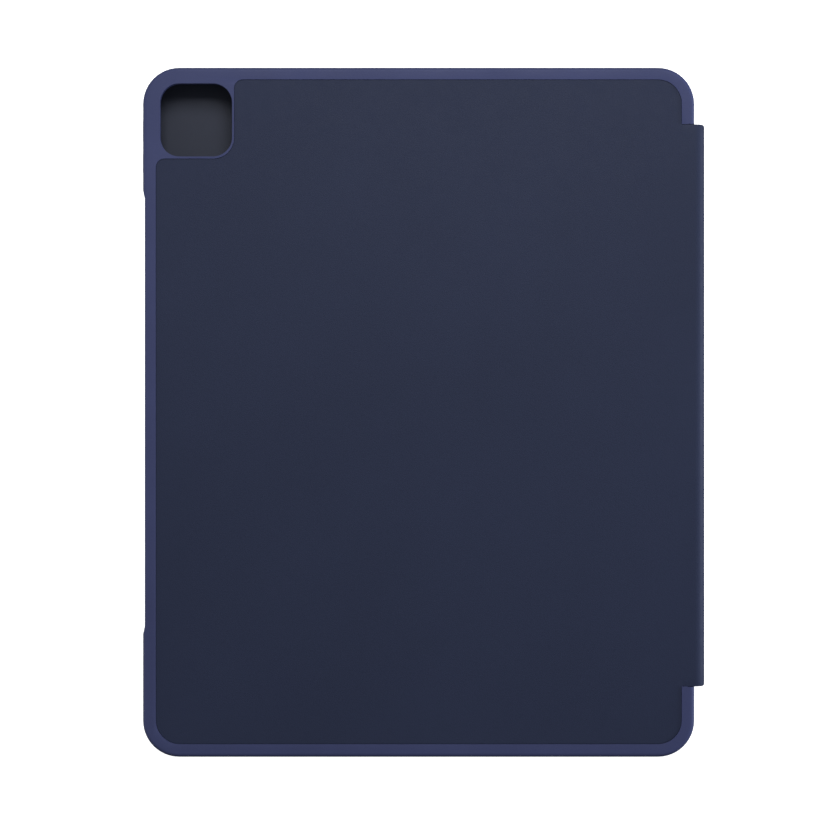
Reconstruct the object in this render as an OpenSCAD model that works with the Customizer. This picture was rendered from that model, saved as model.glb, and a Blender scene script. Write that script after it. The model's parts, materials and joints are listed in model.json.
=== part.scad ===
// Folio case with a keyboard in its cover. Millimetres.
// Lying closed on its front cover, back up (+Z), spine at +X, window corner at -X +Y.

/* [Shell] */
// left edge of the moulded shell
shell_x0 = -116.1; // [-130:0.1:-100]
// right edge of the moulded shell
shell_x1 = 112.1; // [100:0.1:130]
// half length of the shell along Y
shell_y = 142.65; // [120:0.05:160]
// plan radius of the shell corners
shell_r = 15.0; // [8:0.1:20]
// rounding of the back edge
edge_r = 1.8; // [0.5:0.1:2.5]
// rounding of the front lip edge
lip_r = 0.9; // [0.3:0.1:1.2]
// top of the rim, which is the whole thickness when closed
rim_z = 18.5; // [14:0.1:24]
// front face of the lip
lip_z = 8.4; // [7:0.1:10]

/* [Pocket] */
// left wall of the pocket
pocket_x0 = -113.7; // [-130:0.1:-100]
// right wall of the pocket
pocket_x1 = 101.6; // [90:0.1:112]
// half length of the pocket
pocket_y = 140.5; // [120:0.1:160]
// plan radius of the pocket corners
pocket_r = 12.3; // [4:0.1:18]
// inner face of the lip
pocket_z0 = 9.5; // [8:0.1:11]
// moulded floor of the pocket, behind the lining
pocket_z1 = 15.8; // [14:0.1:18]
// reach of the lip over the screen border
lip_reach = 1.4; // [0.5:0.1:3]
// thickness of the lining
lining_t = 0.3; // [0.1:0.05:0.6]

/* [Back panel] */
// left edge of the leather panel
panel_x0 = -110.55; // [-116:0.05:-100]
// right edge of the leather panel
panel_x1 = 106.65; // [95:0.05:112]
// lower edge of the leather panel
panel_y0 = -137.1; // [-142:0.05:-120]
// upper edge of the leather panel
panel_y1 = 137.45; // [120:0.05:142]
// plan radius of the panel corners
panel_r = 9.8; // [3:0.1:14]
// X of the panel edge beside the window
notch_x = -78.2; // [-100:0.1:-60]
// Y of the panel edge below the window
notch_y = 104.75; // [90:0.05:130]
// inner radius of the panel cut-away
notch_r = 8.7; // [3:0.1:12]
// radius of the two outer corners of the cut-away
notch_tip = 3.5; // [1:0.1:5]
// thickness of the leather
leather_t = 0.7; // [0.4:0.05:1.2]
// thickness of the stiffening board
board_t = 0.6; // [0.3:0.05:1.2]
// upper face of the leather panel
leather_z = 18.05; // [15:0.1:22]

/* [Window in the back] */
// left side of the window
cam_x0 = -108.9; // [-114:0.1:-100]
// right side of the window
cam_x1 = -79.1; // [-100:0.1:-60]
// lower side of the window
cam_y0 = 105.75; // [90:0.05:120]
// upper side of the window
cam_y1 = 135.95; // [120:0.1:140]
// radius of the window corners
cam_r = 7.95; // [2:0.05:12]

/* [Edge openings] */
// half length of the open pencil bay
pencil_y = 88.4; // [60:0.1:100]
// half length where the relief has run out
pencil_out = 92.1; // [60:0.1:110]
// depth of the relief on the back edge of the bay
pencil_d = 0.9; // [0.2:0.05:1.5]
// height at which the bay ends
pencil_z = 15.8; // [14:0.1:17]
// X of the middle of the pocket, where the charging opening is
port_x = -6.05; // [-20:0.05:10]
// length of the charging opening
port_w = 16; // [10:0.5:24]
// length of each speaker slot
speaker_w = 24; // [10:0.5:40]
// distance of the speaker slots from the middle
speaker_dx = 62; // [40:1:90]
// height of the middle of the edge openings
edge_z = 12.5; // [11:0.1:14]

// how far the volume buttons stand out
button_out = 0.5; // [0.1:0.05:1]

/* [Spine] */
// lower end of the spine
spine_y0 = -113.35; // [-140:0.05:-80]
// upper end of the spine
spine_y1 = 119.05; // [80:0.05:140]
// X of both hinge axes
axis_x = 113.1; // [105:0.05:118]
// height of the cover hinge axis
axis_z1 = 3.45; // [2:0.05:6]
// height of the lid hinge axis
axis_z2 = 14.6; // [12:0.05:18]
// outer radius of the leather over the hinges
bend_r = 3.45; // [2.5:0.05:5]
// outer radius of the hinge knuckles
knuckle_r = 2.4; // [1.8:0.05:3]
// radius of the hinge pins
pin_r = 1.2; // [0.8:0.05:1.6]
// running clearance round the pins
pin_play = 0.05; // [0.01:0.01:0.1]
// outer radius of the friction bushes
bush_r = 1.7; // [1.4:0.05:2.1]
// X at which lid and base stop beside the spine
band_x = 109.5; // [105:0.1:111]
// gap beside each end of the spine
spine_play = 0.2; // [0.1:0.05:1]
// thickness of the hinge leaves
leaf_t = 1.0; // [0.6:0.1:1.5]
// thickness of the caps that close the ends of the spine
cap_t = 0.85; // [0.5:0.05:1]
// radius of the caps round the hinge axes
cap_r = 2.6; // [2:0.05:2.65]

/* [Base] */
// left edge of the base
base_x0 = -115.6; // [-130:0.1:-100]
// right edge of the base at its corners
base_x1 = 111.4; // [100:0.1:130]
// half length of the base
base_y = 142.05; // [120:0.05:160]
// plan radius of the base corners
base_r = 14.2; // [8:0.1:20]
// underside of the bottom case
case_z = 1.4; // [1:0.1:3]
// inner floor of the bottom case
floor_z = 2.4; // [2:0.1:4]
// underside of the deck
deck_z0 = 5.8; // [4:0.1:8]
// upper face of the deck
deck_z1 = 6.8; // [5:0.1:9]
// wall thickness of the bottom case
case_w = 1.6; // [1:0.1:3]
// top of the screen bumpers
bumper_z = 8.15; // [7:0.05:8.3]

/* [Keyboard] */
// key pitch
pitch = 18.0; // [15:0.1:20]
// gap between neighbouring keycaps
key_gap = 2.4; // [1.5:0.1:4]
// gap between a keycap and its well
well_gap = 0.3; // [0.1:0.05:0.6]
// top of the keycaps
key_z1 = 7.8; // [6:0.1:9]
// underside of the keycaps
key_z0 = 5.9; // [5:0.1:7]
// lower end of the key stems
stem_z = 4.12; // [3:0.01:5]
// width of the square key stems
stem_w = 5.0; // [3:0.1:7]
// X of the function row
fn_x = 92.5; // [80:0.1:100]
// depth of a function key
fn_d = 8.6; // [6:0.1:12]
// X of the number row
num_x = 78; // [60:0.1:90]

/* [Trackpad] */
// front edge of the trackpad opening
pad_x0 = -93; // [-110:0.5:-60]
// rear edge of the trackpad opening
pad_x1 = -25; // [-60:0.5:-10]
// half width of the trackpad opening
pad_y = 56; // [40:0.5:80]

/* [Hidden] */
$fn = 64;
spine_c = (spine_y0 + spine_y1) / 2;
bend_i = bend_r - leather_t;
leather_z0 = leather_z - leather_t;
board_z0 = leather_z0 - board_t;
leaf_knuckles = [-100, -50, 0, 50, 100];
leaf_half = 9;
spine_knuckles = [-75, -25, 25, 75];
spine_half = 12;
pin_half = 110;
leaf_screw_y = [-88, -44, 0, 44, 88];
leaf_screw_x = 105.0;
leaf_x0 = 102.3;
plate_z0 = 2.9;
plate_z1 = 4.5;
sheet_z = 2.7;
deck_screw_x = [-100, -30, 40, 95];
deck_screw_y = 138.5;
led_y = [-124, -129, -134];
led_x = 103.5;
vol_up = [111.6, 122.0];
vol_dn = [98.8, 108.3];
power_x = [-98, -86];
button_z = [11.2, 13.8];
// key widths in units of the pitch, from the user's left (+Y) to the right (-Y)
fn_u = 15 / 14;
row_fn = [for (i = [0:12]) fn_u];
row_num = [for (i = [0:12]) 1];
row_up = concat([for (i = [0:11]) 1], [1.5]);
row_home = [for (i = [0:10]) 1];
row_low = [for (i = [0:9]) 1];
row_mod = [1, 1, 1, 1.25];
back_u = 2;
tab_u = 1.5;
caps_u = 1.75;
enter_u = 2.25;
shift_u = 2.25;
shift_r_u = 2.75;
space_u = 6.5;
mod_x = num_x - 4 * pitch;
arrow_h = (pitch - key_gap - 0.9) / 2;

// ---- helpers ----
// corner arc, counter-clockwise
function arc(cx, cy, r, a0, a1, n = 12) =
  [for (i = [0:n]) [cx + r * cos(a0 + (a1 - a0) * i / n), cy + r * sin(a0 + (a1 - a0) * i / n)]];
// rounded rectangle
function rr(x0, x1, y0, y1, r, n = 12) = concat(
  arc(x1 - r, y0 + r, r, -90, 0, n), arc(x1 - r, y1 - r, r, 0, 90, n),
  arc(x0 + r, y1 - r, r, 90, 180, n), arc(x0 + r, y0 + r, r, 180, 270, n));
// leather panel outline, cut away round the window and grown by g
function panel(g) = concat(
  arc(panel_x1 + g - (panel_r + g), panel_y0 - g + panel_r + g, panel_r + g, -90, 0),
  arc(panel_x1 + g - (panel_r + g), panel_y1 + g - (panel_r + g), panel_r + g, 0, 90),
  arc(notch_x - g + notch_tip + g, panel_y1 + g - (notch_tip + g), notch_tip + g, 90, 180, 8),
  arc(notch_x - g - (notch_r - g), notch_y + g + notch_r - g, notch_r - g, 0, -90),
  arc(panel_x0 - g + notch_tip + g, notch_y + g - (notch_tip + g), notch_tip + g, 90, 180, 8),
  arc(panel_x0 - g + panel_r + g, panel_y0 - g + panel_r + g, panel_r + g, 180, 270));
// start of key i, summing the widths before it
function before(w, i) = i == 0 ? 0 : w[i - 1] + before(w, i - 1);

module box(x0, x1, y0, y1, z0, z1) {
  translate([x0, y0, z0]) cube([x1 - x0, y1 - y0, z1 - z0]);
}
module plate(p, z0, z1) {
  translate([0, 0, z0]) linear_extrude(z1 - z0) polygon(p);
}
// a prism of a rounded outline that runs along Y
module bar_y(x0, x1, z0, z1, r, y0, y1) {
  translate([0, y1, 0]) rotate([90, 0, 0]) linear_extrude(y1 - y0) polygon(rr(x0, x1, z0, z1, r, 6));
}
// a prism of a rounded outline that runs along X
module bar_x(y0, y1, z0, z1, r, x0, x1) {
  translate([x0, 0, 0]) rotate([90, 0, 90]) linear_extrude(x1 - x0) polygon(rr(y0, y1, z0, z1, r, 6));
}
// a cylinder along Y
module rod(x, z, r, y0, y1) {
  translate([x, y1, z]) rotate([90, 0, 0]) cylinder(r = r, h = y1 - y0);
}
// half section of the shell edge, from the corner centre outwards
module edge_section(w) {
  h = rim_z - lip_z;
  polygon(concat([[0, 0]], arc(w - lip_r, lip_r, lip_r, -90, 0, 6),
    arc(w - edge_r, h - edge_r, edge_r, 0, 90, 8), [[0, h]]));
}
// solid of the whole shell with rounded edges
module shell_blank() {
  x0 = shell_x0 + shell_r;
  x1 = shell_x1 - shell_r;
  y = shell_y - shell_r;
  translate([0, 0, lip_z]) {
    translate([x1, y, 0]) rotate_extrude(angle = 90) edge_section(shell_r);
    translate([x0, y, 0]) rotate([0, 0, 90]) rotate_extrude(angle = 90) edge_section(shell_r);
    translate([x0, -y, 0]) rotate([0, 0, 180]) rotate_extrude(angle = 90) edge_section(shell_r);
    translate([x1, -y, 0]) rotate([0, 0, 270]) rotate_extrude(angle = 90) edge_section(shell_r);
    translate([x1, y, 0]) rotate([90, 0, 0]) linear_extrude(2 * y) edge_section(shell_r);
    translate([x0, -y, 0]) rotate([90, 0, 180]) linear_extrude(2 * y) edge_section(shell_r);
    translate([x0, y, 0]) rotate([90, 0, 90]) linear_extrude(x1 - x0) edge_section(shell_r);
    translate([x1, -y, 0]) rotate([90, 0, 270]) linear_extrude(x1 - x0) edge_section(shell_r);
    translate([x0, -y, 0]) cube([x1 - x0, 2 * y, rim_z - lip_z]);
  }
}
// everything beyond the bands beside the spine
module spine_gap(z0, z1, x = band_x) {
  box(x, 125, spine_y0 - spine_play, spine_y1 + spine_play, z0, z1);
}

// ---- lid ----
module back_shell() {
  color([0.24, 0.26, 0.38]) difference() {
    shell_blank();
    plate(rr(pocket_x0, pocket_x1, -pocket_y, pocket_y, pocket_r), pocket_z0, pocket_z1);
    plate(rr(pocket_x0 + lip_reach, pocket_x1 - lip_reach, -pocket_y + lip_reach, pocket_y - lip_reach,
      pocket_r - lip_reach), lip_z - 1, pocket_z0 + 0.5);
    plate(panel(0.12), board_z0, rim_z + 1);
    plate(rr(cam_x0, cam_x1, cam_y0, cam_y1, cam_r), pocket_z1 - 1, rim_z + 1);
    // leather passes over the rim to the spine
    box(panel_x1 - 1, 125, spine_y0 - 0.05, spine_y1 + 0.05, leather_z0, rim_z + 1);
    spine_gap(lip_z - 1, rim_z + 1);
    // slot and screw holes of the hinge leaf
    box(leaf_x0 - 0.1, band_x + 1, spine_c - 109.2, spine_c + 109.2, axis_z2 - leaf_t / 2, axis_z2 + leaf_t / 2);
    for (y = leaf_screw_y) translate([leaf_screw_x, spine_c + y, 0]) {
      translate([0, 0, 15.8]) cylinder(r = 1.85, h = 3);
      translate([0, 0, 13.7]) cylinder(r = 1.0, h = 4);
    }
    // pencil bay and its relief
    box(shell_x0 - 2, pocket_x0 + lip_reach + 0.5, -pencil_y, pencil_y, lip_z - 1, pencil_z);
    translate([0, 0, lip_z - 1]) linear_extrude(rim_z) polygon([[shell_x0 - 2, pencil_out],
      [shell_x0, pencil_out], [shell_x0 + pencil_d, pencil_y], [shell_x0 + pencil_d, -pencil_y],
      [shell_x0, -pencil_out], [shell_x0 - 2, -pencil_out]]);
    // charging opening and speaker slots
    bar_y(port_x - port_w / 2, port_x + port_w / 2, 9.7, 15.3, 2.4, -shell_y - 2, -pocket_y + 4);
    for (s = [-1, 1]) {
      cx = port_x + s * speaker_dx;
      bar_y(cx - speaker_w / 2, cx + speaker_w / 2, edge_z - 1.2, edge_z + 1.2, 1.15, -shell_y - 2, -pocket_y + 4);
      bar_y(cx - speaker_w / 2, cx + speaker_w / 2, edge_z - 1.2, edge_z + 1.2, 1.15, pocket_y - 4, shell_y + 2);
    }
    // button holes
    bar_y(power_x[0], power_x[1], button_z[0], button_z[1], 1.25, pocket_y - 2, shell_y + 2);
    bar_x(vol_up[0], vol_up[1], button_z[0], button_z[1], 1.25, shell_x0 - 2, pocket_x0 + 2);
    bar_x(vol_dn[0], vol_dn[1], button_z[0], button_z[1], 1.25, shell_x0 - 2, pocket_x0 + 2);
  }
}
module shell_lining() {
  color([0.2, 0.21, 0.24]) difference() {
    plate(rr(pocket_x0 + 0.3, pocket_x1 - 0.3, -pocket_y + 0.3, pocket_y - 0.3, pocket_r - 0.3),
      pocket_z1 - lining_t, pocket_z1);
    plate(rr(cam_x0 - 0.5, cam_x1 + 0.5, cam_y0 - 0.5, cam_y1 + 0.5, cam_r + 0.5), pocket_z1 - 1, pocket_z1 + 1);
  }
}
module back_board() {
  color([0.45, 0.4, 0.35]) plate(panel(-0.5), board_z0, leather_z0);
}
module back_leather() {
  color([0.16, 0.18, 0.26]) union() {
    plate(panel(0), leather_z0, leather_z);
    box(panel_x1 - 20, axis_x - 0.3, spine_y0, spine_y1, leather_z0, leather_z);
  }
}
module leaf(z, y0, y1) {
  difference() {
    union() {
      box(leaf_x0, band_x - 0.1, y0, y1, z - leaf_t / 2, z + leaf_t / 2);
      for (k = leaf_knuckles) {
        box(band_x - 0.2, axis_x, spine_c + k - leaf_half, spine_c + k + leaf_half, z - leaf_t / 2, z + leaf_t / 2);
        rod(axis_x, z, knuckle_r, spine_c + k - leaf_half, spine_c + k + leaf_half);
      }
    }
    rod(axis_x, z, pin_r, y0 - 5, y1 + 5);
    for (y = leaf_screw_y) translate([leaf_screw_x, spine_c + y, z - 2]) cylinder(r = 0.92, h = 4);
  }
}
module lid_hinge_leaf() {
  color([0.7, 0.7, 0.72]) leaf(axis_z2, spine_c - 109, spine_c + 109);
}
module upper_hinge_pin() {
  color([0.75, 0.75, 0.78]) rod(axis_x, axis_z2, pin_r, spine_c - pin_half, spine_c + pin_half);
}
module lid_leaf_screws() {
  color([0.6, 0.6, 0.62]) for (y = leaf_screw_y) translate([leaf_screw_x, spine_c + y, 0]) {
    translate([0, 0, 15.85]) cylinder(r = 1.75, h = 0.8);
    translate([0, 0, 13.9]) cylinder(r = 0.9, h = 2.2);
  }
}
module power_button() {
  color([0.24, 0.26, 0.38]) bar_y(power_x[0] + 0.12, power_x[1] - 0.12, button_z[0] + 0.12, button_z[1] - 0.12,
    1.13, pocket_y + 0.2, shell_y + 0.1);
}
module volume_up_button() {
  color([0.24, 0.26, 0.38]) bar_x(vol_up[0] + 0.12, vol_up[1] - 0.12, button_z[0] + 0.12, button_z[1] - 0.12,
    1.13, shell_x0 - button_out, pocket_x0 - 0.2);
}
module volume_down_button() {
  color([0.24, 0.26, 0.38]) bar_x(vol_dn[0] + 0.12, vol_dn[1] - 0.12, button_z[0] + 0.12, button_z[1] - 0.12,
    1.13, shell_x0 - button_out, pocket_x0 - 0.2);
}

// ---- spine ----
module spine_bar() {
  zl = axis_z1 + knuckle_r + 0.3;
  zu = axis_z2 - knuckle_r - 0.3;
  color([0.55, 0.56, 0.58]) difference() {
    union() {
      box(band_x + 0.4, axis_x + knuckle_r, spine_y0 + 1, spine_y1 - 1, zl, zu);
      for (k = spine_knuckles) {
        y0 = spine_c + k - spine_half;
        y1 = spine_c + k + spine_half;
        box(axis_x - 2, axis_x + 2, y0, y1, axis_z1, axis_z2);
        rod(axis_x, axis_z1, knuckle_r, y0, y1);
        rod(axis_x, axis_z2, knuckle_r, y0, y1);
      }
    }
    rod(axis_x, axis_z1, bush_r, spine_y0, spine_y1);
    rod(axis_x, axis_z2, bush_r, spine_y0, spine_y1);
  }
}
module bushes(z) {
  for (k = spine_knuckles) difference() {
    rod(axis_x, z, bush_r, spine_c + k - spine_half, spine_c + k + spine_half);
    rod(axis_x, z, pin_r + pin_play, spine_c + k - spine_half - 1, spine_c + k + spine_half + 1);
  }
}
module upper_friction_bushes() {
  color([0.72, 0.6, 0.35]) bushes(axis_z2);
}
module lower_friction_bushes() {
  color([0.72, 0.6, 0.35]) bushes(axis_z1);
}
module spine_leather() {
  color([0.16, 0.18, 0.26]) box(axis_x + bend_i, axis_x + bend_r, spine_y0, spine_y1, axis_z1, axis_z2);
}
module spine_lining() {
  color([0.2, 0.21, 0.24]) box(band_x + 0.18, band_x + 0.4, spine_y0 + 1, spine_y1 - 1,
    axis_z1 + knuckle_r + 0.3, axis_z2 - knuckle_r - 0.3);
}
// a plate just inside each end of the spine, round about both hinge axes
module spine_end_caps() {
  color([0.15, 0.17, 0.24]) for (y = [spine_y0 + 1 - cap_t, spine_y1 - 1]) union() {
    box(axis_x - cap_r, axis_x + cap_r, y, y + cap_t, axis_z1, axis_z2);
    box(band_x + 0.4, axis_x + bend_i, y, y + cap_t, axis_z1 + knuckle_r + 0.3, axis_z2 - knuckle_r - 0.3);
    rod(axis_x, axis_z1, cap_r, y, y + cap_t);
    rod(axis_x, axis_z2, cap_r, y, y + cap_t);
  }
}
// quarter turn of leather over a hinge, s = 1 above and -1 below
module crease(z, s) {
  p = concat([[axis_x - 0.28, z + s * bend_r]], arc(axis_x, z, bend_r, s * 90, 0, 12),
    arc(axis_x, z, bend_i, 0, s * 90, 12), [[axis_x - 0.28, z + s * bend_i]]);
  translate([0, spine_y1, 0]) rotate([90, 0, 0]) linear_extrude(spine_y1 - spine_y0) polygon(p);
}
module upper_crease() {
  color([0.16, 0.18, 0.26]) crease(axis_z2, 1);
}
module lower_crease() {
  color([0.16, 0.18, 0.26]) crease(axis_z1, -1);
}

// ---- base ----
module base_plate(g, z0, z1) {
  plate(rr(base_x0 + g, base_x1 - g, -base_y + g, base_y - g, base_r - g), z0, z1);
}
module cover_leather() {
  color([0.16, 0.18, 0.26]) union() {
    base_plate(-0.3, 0, leather_t);
    box(base_x1 - 20, axis_x - 0.3, spine_y0, spine_y1, 0, leather_t);
  }
}
module cover_board() {
  color([0.45, 0.4, 0.35]) difference() {
    base_plate(0.8, leather_t, case_z);
    spine_gap(0, case_z + 1, band_x - 1);
  }
}
module bottom_case() {
  color([0.15, 0.17, 0.24]) difference() {
    union() {
      difference() {
        base_plate(0, case_z, deck_z0);
        spine_gap(0, 10);
        difference() {
          base_plate(case_w, floor_z, deck_z0 + 1);
          box(band_x - case_w, 125, spine_y0 - spine_play - case_w, spine_y1 + spine_play + case_w, 0, 10);
        }
      }
      for (y = leaf_screw_y) translate([leaf_screw_x, spine_c + y, floor_z - 0.2])
        cylinder(r = 2.2, h = axis_z1 - leaf_t / 2 - floor_z + 0.2);
      // rests under the trackpad
      for (x = [pad_x0 + 5, pad_x1 - 5], y = [-pad_y + 5, pad_y - 5])
        translate([x, y, floor_z - 0.2]) cylinder(r = 2.5, h = 4.6 - floor_z + 0.2);
    }
    // hinge leaf slot
    box(leaf_x0 - 0.3, band_x + 1, spine_c - 109.2, spine_c + 109.2, axis_z1 - leaf_t / 2, axis_z1 + leaf_t / 2);
    for (y = leaf_screw_y) translate([leaf_screw_x, spine_c + y, 1.8]) cylinder(r = 0.92, h = 3);
    // deck screws
    for (x = deck_screw_x, s = [-1, 1]) translate([x, s * deck_screw_y, 0]) {
      translate([0, 0, case_z - 1]) cylinder(r = 1.6, h = 1.6);
      cylinder(r = 0.85, h = floor_z + 1);
    }
    // charging socket and slide switch, in the +Y wall
    bar_y(-68.1, -58.9, 2.5, 5.7, 1.55, base_y - 8, base_y + 1);
    box(-84, -76, base_y - 4, base_y + 1, 3.6, 5.0);
  }
}
// one row of key-shaped prisms, starting at u units from the user's left
module key_row(w, x, d, u, gap, z0, z1) {
  for (i = [0:len(w) - 1]) {
    a = 135 - pitch * (u + before(w, i));
    box(x - d / 2, x + d / 2, a - pitch * w[i] + gap / 2, a - gap / 2, z0, z1);
  }
}
// a square stem, or a round dome
module stem(x, y, s, z0, z1, round) {
  if (round) translate([x, y, z0]) cylinder(d1 = s, d2 = 0.7 * s, h = z1 - z0, $fn = 24);
  else box(x - s / 2, x + s / 2, y - s / 2, y + s / 2, z0, z1);
}
module row_stems(w, x, u, s, z0, z1, round = false) {
  for (i = [0:len(w) - 1]) stem(x, 135 - pitch * (u + before(w, i) + w[i] / 2), s, z0, z1, round);
}
// half-height arrow key at u units, in the front half (s = -1) or the rear half (s = 1)
module arrow_cap(u, s, g, z0, z1) {
  a = 135 - pitch * u;
  x = mod_x + s * (pitch - key_gap - arrow_h) / 2;
  box(x - arrow_h / 2 - g, x + arrow_h / 2 + g, a - pitch + key_gap / 2 - g, a - key_gap / 2 + g, z0, z1);
}
module arrow_stem(u, s, w, z0, z1, round = false) {
  stem(mod_x + s * (pitch - key_gap - arrow_h) / 2, 135 - pitch * (u + 0.5), w, z0, z1, round);
}
// every key well
module all_wells(z0, z1) {
  d = pitch - key_gap + 2 * well_gap;
  gap = key_gap - 2 * well_gap;
  key_row(concat([fn_u], row_fn), fn_x, fn_d + 2 * well_gap, 0, gap, z0, z1);
  key_row(concat(row_num, [back_u]), num_x, d, 0, gap, z0, z1);
  key_row(concat([tab_u], row_up), num_x - pitch, d, 0, gap, z0, z1);
  key_row(concat([caps_u], row_home, [enter_u]), num_x - 2 * pitch, d, 0, gap, z0, z1);
  key_row(concat([shift_u], row_low, [shift_r_u]), num_x - 3 * pitch, d, 0, gap, z0, z1);
  key_row(concat(row_mod, [space_u, 1.25]), mod_x, d, 0, gap, z0, z1);
  for (u = [12, 14]) arrow_cap(u, -1, well_gap, z0, z1);
  // up and down share one well
  key_row([1], mod_x, d, 13, gap, z0, z1);
}
// every stem, stem hole or dome
module all_stems(s, z0, z1, round = false) {
  row_stems(concat([fn_u], row_fn), fn_x, 0, s, z0, z1, round);
  row_stems(concat(row_num, [back_u]), num_x, 0, s, z0, z1, round);
  row_stems(concat([tab_u], row_up), num_x - pitch, 0, s, z0, z1, round);
  row_stems(concat([caps_u], row_home, [enter_u]), num_x - 2 * pitch, 0, s, z0, z1, round);
  row_stems(concat([shift_u], row_low, [shift_r_u]), num_x - 3 * pitch, 0, s, z0, z1, round);
  row_stems(row_mod, mod_x, 0, s, z0, z1, round);
  row_stems([2, 2.5, 2], mod_x, 4.25, s, z0, z1, round);
  row_stems([1.25], mod_x, 10.75, s, z0, z1, round);
  for (u = [12, 13, 14]) arrow_stem(u, -1, s, z0, z1, round);
  arrow_stem(13, 1, s, z0, z1, round);
}
module deck() {
  color([0.15, 0.17, 0.24]) difference() {
    union() {
      base_plate(0, deck_z0, deck_z1);
      for (x = deck_screw_x, s = [-1, 1]) translate([x, s * deck_screw_y, floor_z]) cylinder(r = 1.6, h = deck_z0 - floor_z + 0.2);
    }
    spine_gap(0, 10);
    all_wells(deck_z0 - 1, deck_z1 + 1);
    box(pad_x0, pad_x1, -pad_y, pad_y, deck_z0 - 1, deck_z1 + 1);
    for (y = led_y) translate([led_x, y, 5]) cylinder(r = 0.85, h = 3);
    for (x = deck_screw_x, s = [-1, 1]) translate([x, s * deck_screw_y, floor_z - 1]) cylinder(r = 0.75, h = 4);
  }
}
module bumper_strips() {
  color([0.1, 0.11, 0.15]) {
    plate(rr(-114.5, -112.7, -120, 120, 0.85, 6), deck_z1, bumper_z);
    plate(rr(-98, 96, 139.3, 141.1, 0.85, 6), deck_z1, bumper_z);
    plate(rr(-98, 96, -141.1, -139.3, 0.85, 6), deck_z1, bumper_z);
    plate(rr(106.6, 108.4, -108, 114, 0.85, 6), deck_z1, bumper_z);
  }
}
module key_plate() {
  color([0.3, 0.31, 0.33]) difference() {
    box(mod_x - 10, fn_x + 6, -136.5, 136.5, plate_z0, plate_z1);
    all_stems(stem_w + 0.4, plate_z0 - 1, plate_z1 + 1);
  }
}
module membrane_circuit() {
  color([0.6, 0.62, 0.5]) box(mod_x - 10, fn_x + 6, -136.5, 136.5, floor_z, sheet_z);
}
module dome_sheet() {
  color([0.75, 0.75, 0.75]) union() {
    box(mod_x - 10, fn_x + 6, -136.5, 136.5, sheet_z, plate_z0);
    all_stems(4.2, sheet_z + 0.1, stem_z - 0.02, true);
  }
}
module battery_cells() {
  color([0.6, 0.62, 0.66]) for (s = [-1, 1])
    plate(rr(-104, -24, s > 0 ? 63 : -131, s > 0 ? 131 : -63, 3, 6), floor_z, 5.4);
}
module controller_board() {
  color([0.1, 0.3, 0.2]) union() {
    box(-84, -30, -44, 44, floor_z, 3.2);
    box(-50, -38, -10, 2, 3.2, 4.2);
    box(-74, -66, 16, 26, 3.2, 4.0);
    box(-70, -60, -34, -24, 3.2, 4.0);
  }
}
module usb_port() {
  color([0.7, 0.7, 0.72]) union() {
    difference() {
      bar_y(-68, -59, 2.55, 5.65, 1.5, base_y - 7.6, base_y - 0.1);
      bar_y(-67.5, -59.5, 3.05, 5.15, 1.0, base_y - 6.6, base_y + 1);
    }
    // contact tongue
    box(-66.85, -60.15, base_y - 6.9, base_y - 1.6, 3.75, 4.45);
  }
}
module status_lights() {
  color([0.9, 0.95, 0.9]) for (y = led_y) translate([led_x, y, deck_z0 - 0.2]) cylinder(r = 0.8, h = deck_z1 - deck_z0 + 0.25);
}
module base_hinge_leaf() {
  color([0.7, 0.7, 0.72]) leaf(axis_z1, spine_c - 109, spine_c + 109);
}
module lower_hinge_pin() {
  color([0.75, 0.75, 0.78]) rod(axis_x, axis_z1, pin_r, spine_c - pin_half, spine_c + pin_half);
}
module base_leaf_screws() {
  color([0.6, 0.6, 0.62]) for (y = leaf_screw_y) translate([leaf_screw_x, spine_c + y, 0]) {
    translate([0, 0, axis_z1 + leaf_t / 2]) cylinder(r = 1.75, h = 0.95);
    translate([0, 0, 2.0]) cylinder(r = 0.9, h = 2.2);
  }
}
module deck_screws() {
  color([0.6, 0.6, 0.62]) for (x = deck_screw_x, s = [-1, 1]) translate([x, s * deck_screw_y, 0]) {
    translate([0, 0, case_z]) cylinder(r = 1.5, h = 0.55);
    translate([0, 0, case_z + 0.3]) cylinder(r = 0.7, h = 3.4);
  }
}
module base_magnets() {
  color([0.75, 0.75, 0.77]) for (y = [-112, -72, 72, 112]) box(-113, -108, y - 10, y + 10, floor_z, 4.4);
}
module trackpad_switch() {
  color([0.2, 0.2, 0.2]) union() {
    box(-66, -58, -4, 4, 3.2, 4.2);
    translate([-62, 0, 4.2]) cylinder(r = 1.8, h = 0.6);
  }
}

// ---- keys and controls ----
module key_set(w, x, d, u) {
  key_row(w, x, d, u, key_gap, key_z0, key_z1);
  row_stems(w, x, u, stem_w, stem_z, key_z0 + 0.2);
}
module function_keys() {
  color([0.13, 0.14, 0.18]) key_set(row_fn, fn_x, fn_d, fn_u);
}
module number_keys() {
  color([0.13, 0.14, 0.18]) key_set(row_num, num_x, pitch - key_gap, 0);
}
module upper_letter_keys() {
  color([0.13, 0.14, 0.18]) key_set(row_up, num_x - pitch, pitch - key_gap, tab_u);
}
module home_letter_keys() {
  color([0.13, 0.14, 0.18]) key_set(row_home, num_x - 2 * pitch, pitch - key_gap, caps_u);
}
module lower_letter_keys() {
  color([0.13, 0.14, 0.18]) key_set(row_low, num_x - 3 * pitch, pitch - key_gap, shift_u);
}
module modifier_keys() {
  color([0.13, 0.14, 0.18]) {
    key_set(row_mod, mod_x, pitch - key_gap, 0);
    key_set([1.25], mod_x, pitch - key_gap, 10.75);
  }
}
module space_bar() {
  color([0.13, 0.14, 0.18]) {
    key_row([space_u], mod_x, pitch - key_gap, 4.25, key_gap, key_z0, key_z1);
    row_stems([2, 2.5, 2], mod_x, 4.25, stem_w, stem_z, key_z0 + 0.2);
  }
}
module escape_key() {
  color([0.13, 0.14, 0.18]) key_set([fn_u], fn_x, fn_d, 0);
}
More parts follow.
